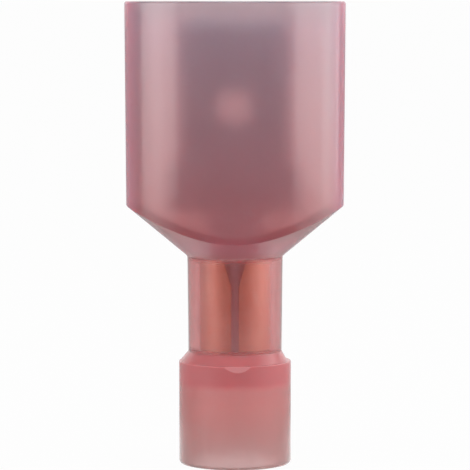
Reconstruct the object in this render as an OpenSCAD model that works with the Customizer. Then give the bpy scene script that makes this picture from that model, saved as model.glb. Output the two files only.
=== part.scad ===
// Fully insulated male spade terminal for wire of 0.5 to 1.5 square millimetres.
// It stands on its wire end: the wire enters from below along Z, and the tab points up into the mouth.
// The broad face of the tab looks along -Y.

/* [Housing] */
// Length from the wire end to the rim of the mouth
overall_l = 26.35; // [26.2:0.05:28]
// Width of the oval housing at its mouth
mouth_w = 12.55; // [12.2:0.05:13.5]
// Thickness of the oval housing at its mouth
mouth_t = 7.7; // [7.4:0.05:8.6]
// Width that the oval loses from mouth to shoulder, so that it leaves its mould
draft = 0.17; // [0.02:0.01:0.3]
// Wall of the oval housing and of its shoulder
wall = 0.7; // [0.5:0.05:0.8]
// Height of the corner where the oval meets the sloping shoulder
shoulder_z = 14.78; // [14.4:0.02:15]
// Rounding of that corner
shoulder_round = 0.4; // [0.1:0.05:0.6]
// Rounding of the rim's edges
rim_round = 0.12; // [0.05:0.01:0.2]

/* [Neck and collar] */
// Diameter of the neck below the shoulder
neck_top_d = 5.43; // [5.35:0.01:5.6]
// Diameter of the neck above the collar
neck_low_d = 5.3; // [5.2:0.01:5.4]
// Height of the inside corner between neck and shoulder
neck_top_z = 11.9; // [11.6:0.05:12]
// Rounding of that inside corner
neck_round = 0.25; // [0.1:0.05:0.5]
// Diameter of the collar at the wire end
collar_d = 6.38; // [6.3:0.02:6.8]
// Height of the collar's straight side
collar_l = 5.9; // [5.7:0.02:6.1]
// Rounding of the collar's lower edge
collar_round = 0.2; // [0.05:0.05:0.25]
// Height of the slope from the collar up to the neck
slope_l = 0.57; // [0.4:0.01:0.7]
// Sideways mismatch of the slope's foot, left by the mould
slope_shift = 0.07; // [0:0.01:0.08]
// Width of the flat on the collar's upper edge, where the mould's gate was trimmed off
gate_w = 1.6; // [1:0.1:2]
// Height of that flat
gate_h = 0.36; // [0.2:0.02:0.6]
// Place of that flat to the right of the middle
gate_x = 0.15; // [-0.3:0.05:0.3]

/* [Wire entry] */
// Diameter of the bore that takes the wire's insulation
entry_d = 5; // [4.9:0.05:5.3]
// Depth of that bore
entry_l = 4.7; // [4.4:0.05:4.8]
// Lead-in at the bore's mouth
entry_lead = 0.12; // [0.05:0.01:0.15]
// Height at which the funnel ends in the throat
throat_z = 5.5; // [5.2:0.05:5.8]
// Height of the seat that the barrel and the sleeve stand on
seat_z = 6.15; // [6.05:0.05:6.25]

/* [Sleeve] */
// Outer diameter of the copper sleeve
sleeve_d = 4; // [3.95:0.05:4.1]
// Length of the sleeve
sleeve_l = 5.75; // [5.55:0.05:5.75]
// Width of the open seam between the sleeve's rolled edges
slit_w = 0.4; // [0.3:0.05:0.8]
// Width of the seam at the sleeve's top end, where its corners are cut back
slit_flare_w = 1.25; // [0.9:0.05:1.5]
// Length of the cut-back corners
slit_flare_l = 1.6; // [1:0.1:2]
// Radial room around the sleeve in the neck
sleeve_gap = 0.05; // [0.03:0.01:0.06]

/* [Terminal] */
// Thickness of the brass sheet
sheet_t = 0.4; // [0.38:0.01:0.42]
// Width of the tab
tab_w = 6.35; // [6.2:0.05:6.4]
// Height of the tab's tip
tip_z = 25.47; // [25:0.01:25.7]
// Length of the bevels at the tip
tip_bevel = 0.57; // [0.4:0.01:0.8]
// Thickness of the tab at its bevelled tip
tip_t = 0.3; // [0.2:0.05:0.5]
// Diameter of the latching hole
hole_d = 2; // [1.6:0.05:2.2]
// Height of the latching hole's centre
hole_z = 20.35; // [19.5:0.05:21]
// Width over the stop shoulders
stop_w = 7.6; // [7.2:0.05:8]
// Height of the stop shoulders' lower edge
stop_low_z = 14.45; // [14.4:0.05:14.8]
// Height of the stop shoulders' upper corner
stop_top_z = 16.6; // [16:0.05:16.8]
// Height at which the folded flaps of the tab begin
fold_z = 17.25; // [17.2:0.05:17.8]
// Outer diameter of the rolled barrel
barrel_d = 3.1; // [3.06:0.02:3.12]
// Length of the rolled barrel
barrel_l = 5.85; // [5.75:0.1:5.85]
// Width of the seam lines where rolled and folded edges meet
seam_w = 0.08; // [0.05:0.01:0.12]
// Radial room between the barrel and the sleeve
barrel_gap = 0.02; // [0.01:0.01:0.03]

/* [Hidden] */

$fn = 96;
arc_steps = 6;
past = 1;

shoulder_r = (mouth_w - draft) / 2;
neck_top_r = neck_top_d / 2;
neck_low_r = neck_low_d / 2;
collar_r = collar_d / 2;
collar_edge = 0.05;
least_ledge = 0.015;
slope_foot_r = collar_r - collar_edge - slope_shift - least_ledge;
shoulder_slope = (shoulder_r - neck_top_r) / (shoulder_z - neck_top_z);
// The revolved body stays this far outside the oval's ends
end_room = 0.03;

entry_r = entry_d / 2;
neck_bore_r = sleeve_d / 2 + sleeve_gap;
floor_lift = wall * sqrt(1 + pow(shoulder_slope, 2)) / shoulder_slope;
cavity_w = mouth_w - 2 * wall;
cavity_t = mouth_t - 2 * wall;
funnel_round = 0.15;

barrel_r = barrel_d / 2;
barrel_bore_r = barrel_r - sheet_t;
// The throat below the barrel is flush with it, so that the strands slide past its edge
throat_r = barrel_bore_r;
barrel_top_z = seat_z + barrel_l;
sleeve_bore_r = barrel_r + barrel_gap;

// The trough between barrel and tab flattens from the barrel's radius to this one
trough_top_r = 6;
trough_w = 3.2;
trough_h = stop_low_z - barrel_top_z;
trough_open_h = 1.3;
trough_back_y = 0.7;
tongue_l = 0.55;

fold_round = sheet_t * 0.95;
sheet_round = 0.25;
slit_round = 0.8;

// Height at which the shoulder's cone has a radius
function shoulder_z_at(r) = neck_top_z + (r - neck_top_r) / shoulder_slope;

// Half the width of a drafted oval at a height, from its width at the mouth
function oval_r_at(width, z) = width / 2 - draft / 2 * (overall_l - z) / (overall_l - shoulder_z);

function unit(v) = v / norm(v);

// Points that round one corner: a corner is [x, y, radius]
function corner_arc(before, corner, after) =
    let (p = [corner.x, corner.y])
    corner.z == 0 ? [p] :
    let (
        back = unit([before.x, before.y] - p),
        ahead = unit([after.x, after.y] - p),
        half = acos(back * ahead) / 2,
        centre = p + unit(back + ahead) * corner.z / sin(half),
        from = p + back * corner.z / tan(half) - centre,
        to = p + ahead * corner.z / tan(half) - centre,
        start = atan2(from.y, from.x),
        turn = atan2(from.x * to.y - from.y * to.x, from * to)
    )
    [for (i = [0 : arc_steps])
        let (a = start + turn * i / arc_steps)
        centre + corner.z * [cos(a), sin(a)]];

// Outline with its corners rounded
function rounded(corners) =
    let (n = len(corners))
    [for (i = [0 : n - 1]) each corner_arc(corners[(i + n - 1) % n], corners[i], corners[(i + 1) % n])];

// Right half of an outline, given from bottom to top, with its mirror image
function both_sides(right) =
    concat(right, [for (i = [len(right) - 1 : -1 : 0]) [-right[i].x, right[i].y, right[i].z]]);

module revolved(corners) {
    rotate_extrude() polygon(rounded(corners));
}

// A revolved outline squeezed to an oval
module oval_revolved(width, thickness, corners) {
    scale([1, thickness / width, 1]) revolved(corners);
}

// Flat sheet that fills y from -t to 0, from an outline in X and Z
module front_sheet(t, corners) {
    rotate([90, 0, 0]) linear_extrude(t) polygon(rounded(corners));
}

// Bar along X, from an outline in Y and Z
module side_bar(length, corners) {
    translate([-length / 2, 0, 0]) rotate([90, 0, 90]) linear_extrude(length) polygon(rounded(corners));
}

// Cone whose top circle is moved sideways
module leaning_cone(h, r_low, r_high, lean) {
    multmatrix([
        [1, 0, lean.x / h, 0],
        [0, 1, lean.y / h, 0],
        [0, 0, 1, 0],
        [0, 0, 0, 1]
    ]) cylinder(h = h, r1 = r_low, r2 = r_high);
}

// Drafted oval that bounds the housing from outside
module housing_oval() {
    oval_revolved(mouth_w, mouth_t, [
        [0, 0, 0],
        [oval_r_at(mouth_w, 0), 0, 0],
        [mouth_w / 2, overall_l, rim_round],
        [0, overall_l, 0]
    ]);
}

// Collar, neck and shoulder, running on past the mouth
module outer_revolve() {
    corner_r = shoulder_r + end_room;
    revolved([
        [0, 0, 0],
        [collar_r, 0, collar_round],
        [collar_r, collar_l, collar_edge],
        [neck_low_r, collar_l, 0],
        [neck_top_r, neck_top_z, neck_round],
        [corner_r, shoulder_z_at(corner_r), shoulder_round],
        [corner_r + draft, shoulder_z + past, 0],
        [corner_r + draft, overall_l + past, 0],
        [0, overall_l + past, 0]
    ]);
}

// Slope from the collar to the neck, with its foot moved sideways
module collar_slope() {
    // The cone runs on above the slope, inside the neck
    rise = slope_l * 1.4;
    top_r = slope_foot_r - (slope_foot_r - neck_low_r) * rise / slope_l;
    translate([-slope_shift, 0, collar_l])
        leaning_cone(rise, slope_foot_r, top_r, [slope_shift * rise / slope_l, 0]);
}

// What was cut off with the gate: all that lies outside a plane that leans in over the collar's edge
module gate_trim() {
    depth = pow(gate_w, 2) / (8 * collar_r);
    lean = atan(depth / gate_h);
    turn = asin(gate_x / collar_r);
    rotate([0, 0, turn]) translate([0, -collar_r, collar_l - gate_h]) rotate([-lean, 0, 0])
        translate([-gate_w, -past, 0]) cube([2 * gate_w, past, past]);
}

// Drafted oval that bounds the hollow of the housing
module cavity_oval() {
    flare = rim_round + past;
    oval_revolved(cavity_w, cavity_t, [
        [0, -past, 0],
        [oval_r_at(cavity_w, -past), -past, 0],
        [cavity_w / 2, overall_l - rim_round / 2, rim_round],
        [cavity_w / 2 + flare, overall_l - rim_round / 2 + flare, 0],
        [0, overall_l - rim_round / 2 + flare, 0]
    ]);
}

// Wire entry, funnel, throat, seat, neck bore and the floor of the hollow
module inner_revolve() {
    far_r = cavity_w;
    revolved([
        [0, -entry_lead, 0],
        [entry_r + 2 * entry_lead, -entry_lead, 0],
        [entry_r, entry_lead, 0],
        [entry_r, entry_l, funnel_round],
        [throat_r, throat_z, funnel_round],
        [throat_r, seat_z, 0],
        [neck_bore_r, seat_z, 0],
        [neck_bore_r, shoulder_z_at(neck_bore_r) + floor_lift, funnel_round],
        [far_r, shoulder_z_at(far_r) + floor_lift, 0],
        [far_r, overall_l + 2 * past, 0],
        [0, overall_l + 2 * past, 0]
    ]);
}

// Moulded nylon housing with the oval mouth, the neck and the collar, in one piece
module insulator() {
    color("palevioletred") difference() {
        union() {
            intersection() {
                housing_oval();
                outer_revolve();
            }
            collar_slope();
        }
        gate_trim();
        intersection() {
            cavity_oval();
            inner_revolve();
        }
    }
}

// Tab folded double, with rounded edges and a bevelled tip
module folded_tab() {
    intersection() {
        translate([0, 0, fold_z]) linear_extrude(tip_z - fold_z) polygon(rounded(both_sides([
            [tab_w / 2, -sheet_t, fold_round],
            [tab_w / 2, sheet_t, fold_round]
        ])));
        translate([0, past, 0]) front_sheet(2 * past, both_sides([
            [tab_w, fold_z - past, 0],
            [tab_w, tip_z - tab_w / 2 - tip_bevel, 0],
            [tab_w / 2 - tip_bevel, tip_z, 0]
        ]));
        side_bar(2 * tab_w, both_sides([
            [sheet_t + past, fold_z - past, 0],
            [sheet_t + past, tip_z - tip_bevel - past * tip_bevel / (sheet_t - tip_t / 2), 0],
            [tip_t / 2, tip_z, 0]
        ]));
    }
}

// Single sheet with the stop shoulders, running down to the trough and up inside the tab
module stop_plate() {
    inside_w = tab_w - 2 * fold_round;
    front_sheet(sheet_t, both_sides([
        [trough_w / 2, stop_low_z - tongue_l, 0],
        [trough_w / 2, stop_low_z, sheet_round],
        [stop_w / 2, stop_low_z, sheet_round],
        [stop_w / 2, stop_top_z, sheet_round],
        [tab_w / 2, fold_z, 0],
        [inside_w / 2, fold_z, 0],
        [inside_w / 2, fold_z + sheet_t, 0]
    ]));
}

// Cone between the barrel's end and the tab's sheet, from its radii at those two heights
module trough_cone(r_low, r_high, more) {
    widen = (r_high - r_low) / trough_h;
    lean = (trough_top_r - sheet_t) / trough_h;
    h = trough_h + 2 * more;
    translate([0, -lean * more, barrel_top_z - more])
        leaning_cone(h, r_low - widen * more, r_high + widen * more, [0, lean * h]);
}

// Trough that opens the round barrel out into the flat tab
module trough() {
    deep = 4 * trough_top_r;
    difference() {
        intersection() {
            trough_cone(barrel_r, trough_top_r, 0);
            translate([-trough_w / 2, -deep / 2, 0]) cube([trough_w, deep, overall_l]);
        }
        trough_cone(barrel_bore_r, trough_top_r - sheet_t, sheet_t / 2);
        side_bar(deep, [
            [trough_back_y * (1 + past / trough_open_h), barrel_top_z - past, 0],
            [0, barrel_top_z + trough_open_h, 0],
            [0, overall_l, 0],
            [deep, overall_l, 0],
            [deep, barrel_top_z - past, 0]
        ]);
    }
}

// Rolled barrel that is crimped on the strands
module barrel() {
    translate([0, 0, seat_z]) difference() {
        cylinder(h = barrel_l, r = barrel_r);
        translate([0, 0, -past]) cylinder(h = barrel_l + 2 * past, r = barrel_bore_r);
        translate([-seam_w / 2, 0, -past]) cube([seam_w, barrel_d, barrel_l + 2 * past]);
    }
}

// Brass terminal stamped and folded from one sheet, with the flaps of the tab meeting behind
module terminal() {
    color("silver") difference() {
        union() {
            folded_tab();
            stop_plate();
            trough();
            barrel();
        }
        translate([0, past, hole_z]) rotate([90, 0, 0]) cylinder(h = 2 * past, r = hole_d / 2);
        translate([-seam_w / 2, 0, fold_z]) cube([seam_w, past, tip_z]);
    }
}

// Copper sleeve rolled around the barrel, with its seam in front
module sleeve() {
    top_z = seat_z + sleeve_l;
    color("peru") difference() {
        translate([0, 0, seat_z]) cylinder(h = sleeve_l, r = sleeve_d / 2);
        translate([0, 0, seat_z - past]) cylinder(h = sleeve_l + 2 * past, r = sleeve_bore_r);
        front_sheet(sleeve_d, both_sides([
            [slit_w / 2, seat_z - past, 0],
            [slit_w / 2, top_z - slit_flare_l, slit_round],
            [slit_flare_w / 2, top_z, 0],
            [slit_flare_w / 2, top_z + past, 0]
        ]));
    }
}

insulator();
terminal();
sleeve();
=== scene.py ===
"""Looks of an insulated male spade terminal: its materials, a plain studio and the camera."""

import math

import bpy
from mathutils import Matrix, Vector


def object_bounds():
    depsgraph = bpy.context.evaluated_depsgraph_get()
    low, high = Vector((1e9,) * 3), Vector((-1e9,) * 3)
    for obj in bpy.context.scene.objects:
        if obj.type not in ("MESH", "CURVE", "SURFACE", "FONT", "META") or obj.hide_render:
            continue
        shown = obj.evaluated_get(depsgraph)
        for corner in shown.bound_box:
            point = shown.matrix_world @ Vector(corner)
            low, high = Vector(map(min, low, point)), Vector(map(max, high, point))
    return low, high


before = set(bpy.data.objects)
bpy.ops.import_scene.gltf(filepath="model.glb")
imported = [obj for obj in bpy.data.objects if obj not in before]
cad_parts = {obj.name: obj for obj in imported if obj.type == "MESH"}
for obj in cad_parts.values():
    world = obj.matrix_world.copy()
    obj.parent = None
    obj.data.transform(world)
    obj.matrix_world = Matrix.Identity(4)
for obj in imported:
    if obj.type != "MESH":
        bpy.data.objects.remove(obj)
CAD_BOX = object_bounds()

MM = 0.001
IMAGE_PX = 470

# Camera: straight in front of the part, level with its rim and aimed near its middle
CAMERA_DISTANCE = 165 * MM
CAMERA_HEIGHT = 26.4 * MM
AIM_HEIGHT = 13.07 * MM
# Scale of the photograph at the part's axis
MM_PER_PX = 0.057
# Nothing nearer than this is drawn
CLIP_START = 1 * MM

# Most values of a noise texture lie between these two
NOISE_RANGE = (0.3, 0.7)

# Nylon: its refraction, the colour of its clear share and the roughness of its glossy coat
NYLON_IOR = 1.53
CLEAR_NYLON = (0.97, 0.95, 0.95)
COAT_ROUGH = 0.15
# Tint of the light that goes through the nylon, and the density of that tint per metre
NYLON_TINT = (0.771, 0.086, 0.071)
NYLON_DENSITY = 700
# Flow marks: their width, their scale along the part, their tint and how far they change the roughness
FLOW_WIDTH = 2.5 * MM
FLOW_SCALE = 0.35
FLOW_TINT = (0.95, 0.93, 0.93)
FLOW_ROUGH = 0.04
# Depth and size of the faint waves in the nylon's skin
SKIN_DEPTH = 0.001 * MM
SKIN_WAVE = 0.6 * MM
# Haze in the nylon: size of its grain, its roughness, how deep light goes into it, and the share of that
# depth for red, green and blue
HAZE_GRAIN = 0.16 * MM
HAZE_ROUGH = (0.18, 0.26)
HAZE_DEPTH = 0.6 * MM
HAZE_DEPTH_SHARES = (1.0, 0.5, 0.5)
# The oval's narrow ends get more haze and a brighter pink: a painted glow for the light that goes
# through the walls edge-on there. How much more haze, the glow's colour, and the distances from the middle
# where it starts and where it is full
END_GLOW_HAZE = 0.27
END_PAINTED_GLOW = (0.86, 0.38, 0.51)
END_REACH = (5.2 * MM, 6.1 * MM)

# What changes in the nylon with the height in millimetres: the roughness of its clear share, and the share
# and the colour of its haze; that colour carries painted light as well as the nylon's own pink
CLEAR_ROUGH = (
    # Collar
    (0, 0.35), (4.4, 0.38), (6.35, 0.42),
    # Neck
    (6.75, 0.14), (11.4, 0.14),
    # Shoulder and oval
    (12.4, 0.42), (26.35, 0.45),
)
HAZE_SHARE = (
    # Collar, with a milky band above the wire entry
    (0, 0.3), (3.5, 0.31), (4.4, 0.33), (4.8, 0.57), (6.35, 0.57),
    # Neck
    (6.65, 0.18), (11.5, 0.15),
    # Shoulder
    (12.0, 0.36), (12.7, 0.33), (13.2, 0.22),
    # Oval
    (14.9, 0.2), (20.6, 0.14), (24.7, 0.15), (26.1, 0.24),
)
# The nylon's own pink with painted light in it: paler and bluer towards the rim for light falling in at the
# open mouth, paler at the shoulder, and darker at the collar's foot
HAZE_COLOUR_AND_PAINTED_LIGHT = (
    # Collar
    (0, (0.53, 0.29, 0.27)), (3.5, (0.89, 0.33, 0.32)),
    (4.4, (0.88, 0.31, 0.31)), (4.8, (0.8, 0.22, 0.24)),
    # Neck and shoulder
    (11.8, (0.8, 0.22, 0.225)), (12.4, (0.88, 0.29, 0.39)), (13.4, (0.74, 0.2, 0.25)),
    # Oval
    (14.9, (0.74, 0.24, 0.3)), (20.6, (0.67, 0.42, 0.57)),
    (24.7, (0.58, 0.5, 0.72)), (26.1, (0.4, 0.43, 0.56)),
)

# Rolled metals: their two colours and the size of the clouds between them, the width of their rolling marks,
# the scale of the marks along the part, and the roughness that the marks go between
TIN = {
    "colours": ((0.58, 0.60, 0.67), (0.46, 0.48, 0.55)),
    "cloud": 1.6 * MM,
    "mark": 0.12 * MM,
    "mark_scale": 0.06,
    "rough": (0.28, 0.42),
}
COPPER = {
    "colours": ((0.88, 0.64, 0.43), (0.78, 0.46, 0.28)),
    "cloud": 1.2 * MM,
    "mark": 0.1 * MM,
    "mark_scale": 0.05,
    "rough": (0.38, 0.5),
}
MARK_DEPTH = 0.003 * MM

# Floor: half its width, how far it goes in front of the part and behind it, and its colour
FLOOR_HALF = 2.0
FLOOR_FRONT = 60 * MM
FLOOR_BACK = 40.0
FLOOR_PALE = (0.6, 0.6, 0.6)
# Share of plain white where the floor has to look white, and the room's white as the camera sees it
FLOOR_WHITE = 0.97
ROOM_WHITE = 0.985
# The floor is white in reflections out to the first radius, and as lit beyond the second
FLOOR_NEAR = (11 * MM, 21 * MM)

# Radiance of the room behind the part, at its sides, in front of it, and low in front
ROOM_BEHIND = 1.0
ROOM_SIDES = 0.48
ROOM_FRONT = 0.62
ROOM_FRONT_LOW = 0.0
# Where those meet: the first by the upward part of a direction of length 1, the others by its backward part
LOW_EDGE = (-0.075, 0.005)
SIDES_EDGE = (-0.25, 0.1)
BEHIND_EDGE = (0.45, 0.8)

# Upright panels of light beside the part: the two azimuths that each stands between, in degrees from the
# camera to the right, its distance from the part, and its radiance
PANEL_HEIGHT = 150 * MM
SIDE_PANELS = {
    "left_softbox": ((-88, -43), 180 * MM, 1.65),
    "left_strip": ((-70, -58), 162 * MM, 0.5),
    "right_softbox": ((43, 118), 180 * MM, 1.7),
    "right_strip": ((78, 92), 144 * MM, 0.8),
}
# Panels in front of the part: place, aim, width and height, and radiance
FRONT_PANELS = {
    "front_card": ((0, -250 * MM, 40 * MM), (0, 0, 40 * MM), (400 * MM, 60 * MM), 0.2),
    "front_lamp": ((0, -260 * MM, 150 * MM), (0, 0, 10 * MM), (120 * MM, 90 * MM), 1.6),
}
# Watts that a square metre of panel takes for a radiance of 1
PANEL_WATTS = 4


def rgba(value):
    """An opaque colour, from three numbers or from one for a grey."""
    return (*value, 1) if isinstance(value, tuple) else (value, value, value, 1)


class Graph:
    """A node tree, with short calls for the nodes used here."""

    def __init__(self, tree):
        self.tree = tree

    def feed(self, target, value):
        """Links a socket to another one, or gives it a number or a colour of its own."""
        if isinstance(value, bpy.types.NodeSocket):
            self.tree.links.new(value, target)
        elif target.type == "RGBA":
            target.default_value = rgba(value)
        else:
            target.default_value = value

    def node(self, kind, inputs, **settings):
        """A new node with its settings, and with its inputs fed by name or number."""
        node = self.tree.nodes.new("ShaderNode" + kind)
        for key, value in settings.items():
            setattr(node, key, value)
        for key, value in inputs.items():
            self.feed(node.inputs[key], value)
        return node

    def along(self, axis, kind="Object"):
        """The coordinate along one axis: an object's own in metres, or one of another kind."""
        coordinates = self.node("TexCoord", {})
        return self.node("SeparateXYZ", {"Vector": coordinates.outputs[kind]}).outputs[axis]

    def place(self, scale=1):
        """An object's own coordinates in metres. A scale under 1 draws a pattern out along Z."""
        coordinates = self.node("TexCoord", {})
        sockets = {"Vector": coordinates.outputs["Object"], "Scale": (1, 1, scale)}
        return self.node("Mapping", sockets).outputs["Vector"]

    def noise(self, place, feature, detail, rough=0.5):
        """Noise whose blotches are about one feature across, in metres."""
        sockets = {"Vector": place, "Scale": 1 / feature, "Detail": detail, "Roughness": rough}
        return self.node("TexNoise", sockets).outputs["Fac"]

    def calculate(self, operation, *values):
        """A number worked out from others."""
        return self.node("Math", dict(enumerate(values)), operation=operation).outputs["Value"]

    def span(self, value, low, high, ends=NOISE_RANGE, **settings):
        """A number from low to high, as the value goes from one end to the other."""
        sockets = {"Value": value, "From Min": ends[0], "From Max": ends[1], "To Min": low, "To Max": high}
        return self.node("MapRange", sockets, **settings).outputs["Result"]

    def blend(self, factor, low, high, **settings):
        """A colour between two, by a factor from 0 to 1."""
        sockets = {"Factor": factor, "A": low, "B": high}
        return self.node("Mix", sockets, data_type="RGBA", **settings).outputs["Result"]

    def by_height(self, stops):
        """A number or a colour that changes with the height in the part, from stops in millimetres."""
        top = CAD_BOX[1][2]
        ramp = self.node("ValToRGB", {"Fac": self.calculate("DIVIDE", self.along("Z"), top)})
        elements = ramp.color_ramp.elements
        while len(elements) < len(stops):
            elements.new(position=0.5)
        for element, (millimetres, value) in zip(elements, stops):
            element.position = min(millimetres * MM / top, 1)
            element.color = rgba(value)
        return ramp.outputs["Color"]

    def bump(self, height, depth):
        """A surface direction bent by a height map of that depth in metres."""
        return self.node("Bump", {"Height": height, "Distance": depth}).outputs["Normal"]

    def mix_shaders(self, share, first, second):
        """Two shaders in one, with that share of the second."""
        return self.node("MixShader", {"Fac": share, 1: first.outputs[0], 2: second.outputs[0]})


class Material(Graph):
    """A new material and its node tree."""

    def __init__(self, name):
        self.material = bpy.data.materials.new(name)
        self.material.use_nodes = True
        super().__init__(self.material.node_tree)
        self.tree.nodes.clear()

    def complete(self, surface, inside=None):
        """The material, with a shader on its surface and, where given, one for what is inside."""
        output = self.node("OutputMaterial", {"Surface": surface.outputs[0]})
        if inside:
            self.feed(output.inputs["Volume"], inside.outputs[0])
        return self.material


def nylon():
    """Translucent moulded nylon: clear nylon with a pink haze in it, satin, with faint flow marks."""
    m = Material("translucent_nylon")
    flow = m.noise(m.place(FLOW_SCALE), FLOW_WIDTH, detail=3)
    grain = m.noise(m.place(), HAZE_GRAIN, detail=3, rough=0.6)
    skin = m.bump(m.noise(m.place(), SKIN_WAVE, detail=1), SKIN_DEPTH)

    flow_rough = m.span(flow, -FLOW_ROUGH / 2, FLOW_ROUGH / 2)
    clear = m.node("BsdfPrincipled", {
        "Base Color": CLEAR_NYLON,
        "Roughness": m.calculate("ADD", m.by_height(CLEAR_ROUGH), flow_rough),
        "Transmission Weight": 1,
        "IOR": NYLON_IOR,
        "Coat Weight": 1,
        "Coat Roughness": COAT_ROUGH,
        "Coat IOR": NYLON_IOR,
        "Normal": skin,
    })

    # Painted glow: more haze and a brighter pink towards the oval's narrow ends
    ends = m.span(m.calculate("ABSOLUTE", m.along("X")), 0, 1, END_REACH)
    # The haze's colour by height carries painted light: paler and bluer towards the rim, paler at the
    # shoulder
    pink = m.blend(ends, m.by_height(HAZE_COLOUR_AND_PAINTED_LIGHT), END_PAINTED_GLOW)
    flow_tint = m.blend(m.span(flow, 0, 1), (1, 1, 1), FLOW_TINT)
    haze = m.node("BsdfPrincipled", {
        "Base Color": m.blend(1, pink, flow_tint, blend_type="MULTIPLY"),
        "Roughness": m.span(grain, *HAZE_ROUGH),
        "IOR": NYLON_IOR,
        "Subsurface Weight": 1,
        "Subsurface Scale": HAZE_DEPTH,
        "Subsurface Radius": HAZE_DEPTH_SHARES,
        "Normal": skin,
    })

    # More haze towards the oval's narrow ends, part of the painted glow there
    share = m.calculate("MULTIPLY_ADD", ends, END_GLOW_HAZE, m.by_height(HAZE_SHARE))
    tint = m.node("VolumeAbsorption", {"Color": NYLON_TINT, "Density": NYLON_DENSITY})
    return m.complete(m.mix_shaders(share, clear, haze), tint)


def rolled_metal(name, colours, cloud, mark, mark_scale, rough):
    """Clouded sheet metal with rolling marks along the part."""
    m = Material(name)
    marks = m.noise(m.place(mark_scale), mark, detail=4, rough=0.6)
    clouds = m.noise(m.place(), cloud, detail=3)
    metal = m.node("BsdfPrincipled", {
        "Base Color": m.blend(m.span(clouds, 0, 1), *colours),
        "Metallic": 1,
        "Roughness": m.span(marks, *rough),
        "Normal": m.bump(marks, MARK_DEPTH),
    })
    return m.complete(metal)


def tinned_brass():
    """Tin plating over brass: dull silver."""
    return rolled_metal("tinned_brass", **TIN)


def copper():
    """Bare copper: bright, a little tarnished."""
    return rolled_metal("bare_copper", **COPPER)


def pale_floor():
    """Pale surface that looks white to the camera, through nylon and, near the part, in metal and gloss."""
    m = Material("floor_pale")
    ray = m.node("LightPath", {}).outputs
    radius = m.node("VectorMath", {0: m.place()}, operation="LENGTH").outputs["Value"]
    mirrored = m.calculate("MULTIPLY", ray["Is Glossy Ray"], m.span(radius, 1, 0, FLOOR_NEAR))
    seen = m.calculate("MAXIMUM", ray["Is Camera Ray"], ray["Is Transmission Ray"])
    share = m.calculate("MULTIPLY", m.calculate("MAXIMUM", seen, mirrored), FLOOR_WHITE)
    lit = m.node("BsdfDiffuse", {"Color": FLOOR_PALE})
    white = m.node("Emission", {"Color": 1})
    return m.complete(m.mix_shaders(share, lit, white))


def dress(node, material):
    """Gives a CAD node its material."""
    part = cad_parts[node]
    part.data.materials.clear()
    part.data.materials.append(material)


def add_floor():
    """Wide pale floor that the part stands on."""
    corners = [
        (-FLOOR_HALF, -FLOOR_FRONT, 0), (FLOOR_HALF, -FLOOR_FRONT, 0),
        (FLOOR_HALF, FLOOR_BACK, 0), (-FLOOR_HALF, FLOOR_BACK, 0),
    ]
    mesh = bpy.data.meshes.new("floor")
    mesh.from_pydata(corners, [], [(0, 1, 2, 3)])
    mesh.materials.append(pale_floor())
    plane = bpy.data.objects.new("floor", mesh)
    bpy.context.scene.collection.objects.link(plane)


def turn_to(place, aim):
    """Rotation of a lamp or camera that stands at a place and looks at its aim."""
    return (Vector(aim) - Vector(place)).to_track_quat("-Z", "Y").to_euler()


def add_panel(name, place, aim, size, radiance):
    """Soft panel of light at a place, turned to its aim."""
    light = bpy.data.lights.new(name, "AREA")
    light.shape = "RECTANGLE"
    light.size, light.size_y = size
    light.energy = PANEL_WATTS * size[0] * size[1] * radiance
    lamp = bpy.data.objects.new(name, light)
    lamp.location = place
    lamp.rotation_euler = turn_to(place, aim)
    bpy.context.scene.collection.objects.link(lamp)


def add_side_panel(name, azimuths, distance, radiance):
    """Upright panel that stands on the floor beside the part, between two azimuths."""
    low, high = (math.radians(azimuth) for azimuth in azimuths)
    middle = (low + high) / 2
    width = 2 * distance * math.tan((high - low) / 2)
    aim = (0, 0, PANEL_HEIGHT / 2)
    place = (math.sin(middle) * distance, -math.cos(middle) * distance, PANEL_HEIGHT / 2)
    add_panel(name, place, aim, (width, PANEL_HEIGHT), radiance)


def add_lights():
    """Upright panels left and right, each brightened by a strip, and a card and a lamp in front."""
    for name, settings in SIDE_PANELS.items():
        add_side_panel(name, *settings)
    for name, settings in FRONT_PANELS.items():
        add_panel(name, *settings)


def add_world():
    """Plain room light: white behind the part, dimmer in front of it and dark low in front."""
    world = bpy.data.worlds.new("studio")
    world.use_nodes = True
    g = Graph(world.node_tree)
    up = g.along("Z", "Generated")
    back = g.along("Y", "Generated")

    def past(edge, direction):
        """How far a direction is past a soft edge, from 0 to 1."""
        return g.span(direction, 0, 1, edge, interpolation_type="SMOOTHSTEP")

    front = g.blend(past(LOW_EDGE, up), ROOM_FRONT_LOW, ROOM_FRONT)
    sides = g.blend(past(SIDES_EDGE, back), front, ROOM_SIDES)
    light = g.blend(past(BEHIND_EDGE, back), sides, ROOM_BEHIND)
    seen = g.node("LightPath", {}).outputs["Is Camera Ray"]
    g.feed(g.tree.nodes["Background"].inputs["Color"], g.blend(seen, light, ROOM_WHITE))
    bpy.context.scene.world = world


def add_camera():
    """Camera that frames the part as the photograph does."""
    eye = Vector((0, -CAMERA_DISTANCE, CAMERA_HEIGHT))
    aim = Vector((0, 0, AIM_HEIGHT))
    lens = bpy.data.cameras.new("camera")
    lens.sensor_fit = "HORIZONTAL"
    lens.angle = 2 * math.atan(IMAGE_PX / 2 * MM_PER_PX * MM / (aim - eye).length)
    lens.clip_start = CLIP_START
    camera = bpy.data.objects.new("camera", lens)
    camera.location = eye
    camera.rotation_euler = turn_to(eye, aim)
    bpy.context.scene.collection.objects.link(camera)
    bpy.context.scene.camera = camera


dress("insulator", nylon())
dress("terminal", tinned_brass())
dress("sleeve", copper())
add_floor()
add_lights()
add_world()
add_camera()
bpy.context.scene.view_settings.view_transform = "Standard"
